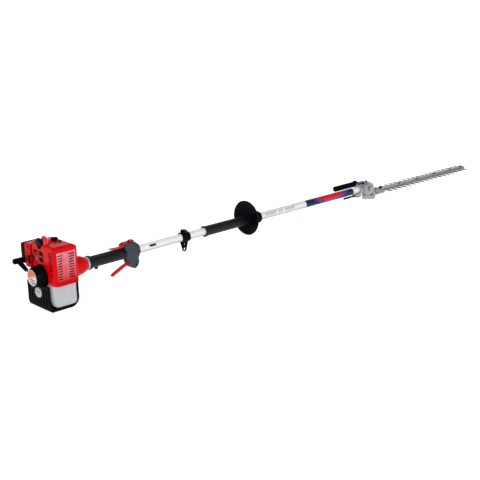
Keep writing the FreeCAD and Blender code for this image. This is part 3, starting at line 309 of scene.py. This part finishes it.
def painted_panel_reflection(tree, place, tone):
    """A painted reflection: the slotted panel on the muffler's side is paler and pinker than the shell round
    it, in soft clouds.
    """
    split = add(tree, "SeparateXYZ", {"Vector": place})
    on_face = calc(tree, "LESS_THAN", split.outputs["Y"], PANEL_Y)
    across = inside(tree, split.outputs["X"], PANEL_X, PANEL_X_HALF)
    upright = inside(tree, split.outputs["Z"], PANEL_Z, PANEL_Z_HALF)
    region = calc(tree, "MULTIPLY", on_face, calc(tree, "MULTIPLY", across, upright))
    # painted reflection, stronger towards the top and broken into soft clouds
    rising = between(tree, split.outputs["Z"], 0.085, 0.165, 0.12, 0.70)
    clouds = between(tree, noise(tree, place, 45.0, 3.0), 0.35, 0.65, 0.35, 1.1)
    pale = calc(tree, "MULTIPLY", region, calc(tree, "MULTIPLY", rising, clouds))
    return blend_tones(tree, pale, tone, PANEL_REFLECTION_PINK)


def tank_shade(tree, place, tone):
    """Fuel shows as a slightly warmer, darker lower part with a soft upper line."""
    height = add(tree, "SeparateXYZ", {"Vector": place}).outputs["Z"]
    wavy = calc(tree, "ADD", height, between(tree, noise(tree, place, 18.0, 2.0), 0.3, 0.7, -0.003, 0.003))
    below_fuel = between(tree, wavy, tank_low.z + 0.016, tank_low.z + 0.004, 0.0, 0.6)
    return blend_tones(tree, below_fuel, tone, (0.40, 0.43, 0.42))


def heat_stain(tree, place, tone):
    """Straw and blue heat colours that drift over the steel."""
    drift = between(tree, noise(tree, place, 28.0, 4.0), 0.35, 0.7)
    straw = blend_tones(tree, drift, tone, (0.30, 0.20, 0.10))
    blue_spots = between(tree, noise(tree, place, 55.0, 3.0), 0.55, 0.75, 0.0, 0.5)
    return blend_tones(tree, blue_spots, straw, (0.10, 0.11, 0.18))


def blade_stain(tree, place, tone):
    """Faint sap and rust marks, and browner teeth along the right-hand edge."""
    spots = between(tree, noise(tree, place, 70.0, 8.0, 0.7), 0.52, 0.72, 0.0, 0.4)
    tone = blend_tones(tree, spots, tone, (0.22, 0.15, 0.10))
    across = add(tree, "SeparateXYZ", {"Vector": place}).outputs["Y"]
    toward_tip = between(tree, across, -0.019, -0.026, 0.0, 0.85)
    return blend_tones(tree, toward_tip, tone, (0.16, 0.095, 0.075))


def bolt_tones(tree, place, tone):
    """The bolt nearest the gear case is brass; the others are blackened."""
    along = add(tree, "SeparateXYZ", {"Vector": place}).outputs["X"]
    return blend_tones(tree, inside(tree, along, bolts_low.x + 0.006, 0.008), tone, (0.42, 0.27, 0.09))


def foam_material(name, tone):
    """Open cells: a fine cellular relief with dark pits."""
    material, tree, shader = blank(name)
    place = add(tree, "TexCoord").outputs["Object"]
    cells = add(tree, "TexVoronoi", {"Vector": place, "Scale": 700.0}).outputs["Distance"]
    dark, light = shades(tone, 0.5)
    colour = blend_tones(tree, cells, dark, light)
    tree.links.new(colour, shader.inputs["Base Color"])
    tree.links.new(between(tree, noise(tree, place, 200.0), 0.3, 0.7, 0.8, 0.98), shader.inputs["Roughness"])
    bump = add(tree, "Bump", {"Strength": 0.8, "Distance": 0.0006, "Height": cells})
    tree.links.new(bump.outputs["Normal"], shader.inputs["Normal"])
    return material


def cord_material(name, tone):
    """A braid: two sets of crossing bands with a fuzzy noise over them."""
    material, tree, shader = blank(name)
    place = add(tree, "TexCoord").outputs["Object"]
    bands = []
    for slope in (0.8, -0.8):
        turned = add(tree, "Mapping", {"Vector": place, "Rotation": (slope, 0, 0)}).outputs["Vector"]
        wave = add(tree, "TexWave", {"Vector": turned, "Scale": 260.0, "Distortion": 0.8})
        bands.append(wave.outputs["Fac"])
    braid = calc(tree, "MAXIMUM", bands[0], bands[1])
    fuzz = calc(tree, "ADD", braid, noise(tree, place, 2400.0))
    dark, light = shades(tone, 0.45)
    tree.links.new(blend_tones(tree, braid, dark, light), shader.inputs["Base Color"])
    tree.links.new(between(tree, fuzz, 0.2, 1.6, 0.7, 0.95), shader.inputs["Roughness"])
    bump = add(tree, "Bump", {"Strength": 0.7, "Distance": 0.0004, "Height": fuzz})
    tree.links.new(bump.outputs["Normal"], shader.inputs["Normal"])
    return material


def make_materials():
    gloss = {"Coat Weight": 0.05, "Coat Roughness": 0.05, "Specular IOR Level": 0.05}
    brushed = {"Anisotropic": 0.45}
    return {
        # the red cover carries the slotted panel's painted reflection
        "red_cover": surface("red_cover", (0.60, 0.0004, 0.003), 0.28, grain=380, relief=0.06, spread=0.05,
                             edge=0.0009, worn=(0.75, 0.05, 0.06), wear=0.25, tint=painted_panel_reflection,
                             sockets=gloss),
        "red_control": surface("red_control", (0.60, 0.001, 0.005), 0.38, grain=700, relief=0.10, spread=0.06,
                               worn=(0.70, 0.04, 0.04), wear=0.35, sockets={"Specular IOR Level": 0.2}),
        "black_plastic": surface("black_plastic", (0.0025, 0.0027, 0.0035), 0.50, grain=1500, relief=0.35,
                                 spread=0.2, worn=(0.010, 0.010, 0.012), wear=0.4,
                                 sockets={"Specular IOR Level": 0.03}),
        "grey_plastic": surface("grey_plastic", (0.036, 0.050, 0.064), 0.46, grain=1500, relief=0.35,
                                spread=0.12, worn=(0.10, 0.12, 0.14), wear=0.4,
                                sockets={"Specular IOR Level": 0.18}),
        "grip_rubber": surface("grip_rubber", (0.004, 0.0048, 0.008), 0.40, grain=1100, relief=0.4,
                               depth=0.0003, spread=0.2, worn=(0.05, 0.05, 0.055), wear=0.4,
                               sockets={"Specular IOR Level": 0.18, "Sheen Weight": 0.01,
                                        "Sheen Roughness": 0.4}),
        "black_rubber": surface("black_rubber", (0.004, 0.004, 0.005), 0.45, grain=800, relief=0.3,
                                spread=0.2, sockets={"Specular IOR Level": 0.2}),
        "primer_rubber": surface("primer_rubber", (0.55, 0.50, 0.42), 0.35, grain=600, relief=0.1,
                                 sockets={"Subsurface Weight": 0.4, "Subsurface Scale": 0.004}),
        "tank_plastic": surface("tank_plastic", (0.46, 0.475, 0.495), 0.36, grain=500, relief=0.12,
                                spread=0.05, edge=0.0015, tint=tank_shade,
                                sockets={"Subsurface Weight": 0.35, "Subsurface Scale": 0.01}),
        "cap_plastic": surface("cap_plastic", (0.42, 0.43, 0.45), 0.38, grain=900, relief=0.2, edge=0.001,
                               worn=(0.60, 0.60, 0.60), wear=0.4),
        # the pole's print, and a painted shade on its underside
        "tube_aluminium": surface("tube_aluminium", (0.90, 0.90, 0.90), 0.42, 0.25, grain=260, relief=0.05,
                                  spread=0.04, stretch=(0.15, 6, 6), tint=tube_print_and_shade,
                                  sockets={"Specular IOR Level": 0.25}),
        # a darker casting for the cylinder and crankcase: painted shade inside the cover
        "painted_shade_casting": surface("painted_shade_casting", (0.020, 0.019, 0.019), 0.60, 0.2, grain=800, relief=0.5,
                                spread=0.25, worn=(0.20, 0.20, 0.20), wear=0.5),
        "cast_aluminium": surface("cast_aluminium", (0.36, 0.37, 0.39), 0.45, 0.5, grain=1000, relief=0.5,
                                  depth=0.0003, spread=0.28, edge=0.0009, worn=(0.60, 0.60, 0.61), wear=0.7,
                                  sockets={"Specular IOR Level": 0.3}),
        "blade_steel": surface("blade_steel", (0.36, 0.36, 0.36), 0.42, 0.5, grain=420, relief=0.25,
                               spread=0.18, stretch=(0.3, 6, 6), edge=0.0004, worn=(0.85, 0.85, 0.86),
                               wear=0.9, tint=blade_stain, sockets=brushed),
        "machined_steel": surface("machined_steel", (0.45, 0.45, 0.46), 0.25, 1.0, grain=700, relief=0.2,
                                  spread=0.1, stretch=(6, 1, 1), worn=(0.8, 0.8, 0.8), wear=0.6,
                                  sockets=brushed),
        "black_fastener": surface("black_fastener", (0.012, 0.012, 0.014), 0.38, 0.5, grain=900, relief=0.25,
                                  spread=0.2, edge=0.0005, worn=(0.12, 0.12, 0.12), wear=0.8,
                                  tint=bolt_tones),
        "muffler_steel": surface("muffler_steel", (0.16, 0.14, 0.13), 0.45, 0.9, grain=500, relief=0.3,
                                 spread=0.2, tint=heat_stain),
        "coil_black": surface("coil_black", (0.03, 0.03, 0.035), 0.5, grain=400, relief=0.3, spread=0.2),
        "filter_foam": foam_material("filter_foam", (0.10, 0.10, 0.10)),
        "starter_cord": cord_material("starter_cord", (0.08, 0.08, 0.08)),
    }


def dress_nodes(materials):
    """Each node takes its slot's material; the cylinder and crankcase inside the cover are darker than the
    others, as painted shade.
    """
    for row in frame["record"]["subparts"]:
        mesh = nodes[row["node"]].data
        mesh.materials.clear()
        # painted shade: the castings inside the cover take the darker material
        shaded_inside = row["node"] in ("cylinder", "crankcase")
        mesh.materials.append(materials["painted_shade_casting" if shaded_inside else row["material_slot"]])


# ------------------------------------------------------------------ added pieces
def mesh_object(name, builder):
    mesh = bpy.data.meshes.new(name)
    builder.to_mesh(mesh)
    builder.free()
    made = bpy.data.objects.new(name, mesh)
    scene.collection.objects.link(made)
    return made


def sticker_shade(tree, place, tone):
    """Plain bands of colour across the round plate, with two dark bars on the pale part."""
    split = add(tree, "SeparateXYZ", {"Vector": place})
    height = split.outputs["Z"]
    level = calc(tree, "ADD", height, calc(tree, "MULTIPLY", split.outputs["Y"], 0.35))
    tone = colour_steps(tree, between(tree, level, AXIS_Z - PLATE_R, AXIS_Z + PLATE_R),
                        ((0.0, (0.30, 0.30, 0.31)), (0.16, (0.62, 0.62, 0.62)), (0.44, (0.75, 0.40, 0.03)),
                         (0.54, (0.70, 0.16, 0.02)), (0.62, (0.62, 0.05, 0.05))))
    bar_half_height, bar_y, bar_half_length = 0.0018, -0.003, 0.013
    for centre in (AXIS_Z - 0.006, AXIS_Z - 0.013):
        bar = calc(tree, "MULTIPLY", inside(tree, height, centre, bar_half_height),
                   inside(tree, split.outputs["Y"], bar_y, bar_half_length))
        tone = blend_tones(tree, bar, tone, (0.02, 0.02, 0.02))
    radius = add(tree, "VectorMath", {0: place, 1: (PLATE_X, 0, AXIS_Z)}, operation="DISTANCE")
    rim = calc(tree, "GREATER_THAN", radius.outputs["Value"], PLATE_RIM_R)
    return blend_tones(tree, rim, tone, (0.45, 0.45, 0.46))


def turned_piece(name, profile, centre, steps=64):
    """A closed shape turned about the X direction; the profile lists (x, radius) points."""
    builder = bmesh.new()
    rings = []
    for i in range(steps):
        angle = 2 * math.pi * i / steps
        rings.append([builder.verts.new((x, centre[0] + radius * math.cos(angle),
                                         centre[1] + radius * math.sin(angle))) for x, radius in profile])
    for i in range(steps):
        ring = rings[i]
        following = rings[(i + 1) % steps]
        for j in range(len(profile) - 1):
            face = builder.faces.new((ring[j], following[j], following[j + 1], ring[j + 1]))
            face.smooth = True
    for j in (0, -1):
        builder.faces.new([ring[j] for ring in rings])
    bmesh.ops.recalc_face_normals(builder, faces=builder.faces)
    return mesh_object(name, builder)


def make_arch():
    """Smooth red arch that wraps the spark plug boot on its front and right sides."""
    foot = Vector((-0.004, 0.0, 0.166))
    inner, outer, bottom = 0.0158, 0.0238, 0.010
    start, sweep = -75, 205      # degrees round the boot, from the front
    middle_top, crown, crown_turn = 0.024, 0.017, 24
    axis = Vector((-0.66, 0.10, 0.745)).normalized()
    left = (Vector((0, 1, 0)) - axis * axis.y).normalized()
    front = left.cross(axis)
    builder = bmesh.new()
    rings = []
    steps = 40
    for i in range(steps + 1):
        angle = math.radians(start + sweep * i / steps)
        outward = front * math.cos(angle) - left * math.sin(angle)
        top = middle_top + crown * math.cos(angle - math.radians(crown_turn))
        section = ((inner, bottom), (inner, top - 0.0030), (0.0163, top - 0.0010), (0.0178, top),
                   (0.0205, top - 0.0008), (0.0228, top - 0.0034), (outer, top - 0.0080), (outer, bottom))
        rings.append([builder.verts.new(foot + axis * rise + outward * radius) for radius, rise in section])
    for i in range(steps):
        count = len(rings[i])
        for j in range(count):
            after = (j + 1) % count
            face = builder.faces.new((rings[i][j], rings[i + 1][j], rings[i + 1][after], rings[i][after]))
            face.smooth = True
    for ring in (rings[0], rings[-1]):
        builder.faces.new(ring)
    bmesh.ops.recalc_face_normals(builder, faces=builder.faces)
    arch = mesh_object("plug_arch", builder)
    arch.data.materials.append(bpy.data.materials["red_cover"])
    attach(arch, "machine")
    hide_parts("plug_hood")


def make_sticker():
    """Round plate glued in the middle of the starter case."""
    plate = turned_piece("starter_plate", [(PLATE_X + 0.0006, PLATE_R), (PLATE_X + 0.0001, PLATE_R),
                                           (PLATE_X - 0.0002, 0.0234), (PLATE_X, PLATE_RIM_R)], (0.0, AXIS_Z))
    plate.data.materials.append(surface("plate_print", WHITE, 0.3, grain=900, relief=0.04,
                                        tint=sticker_shade, sockets={"Coat Weight": 0.2}))
    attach(plate, "machine")


make_camera()
make_floor()
make_lights()
dress_nodes(make_materials())
make_arch()
make_sticker()

scene.view_settings.view_transform = "Standard"
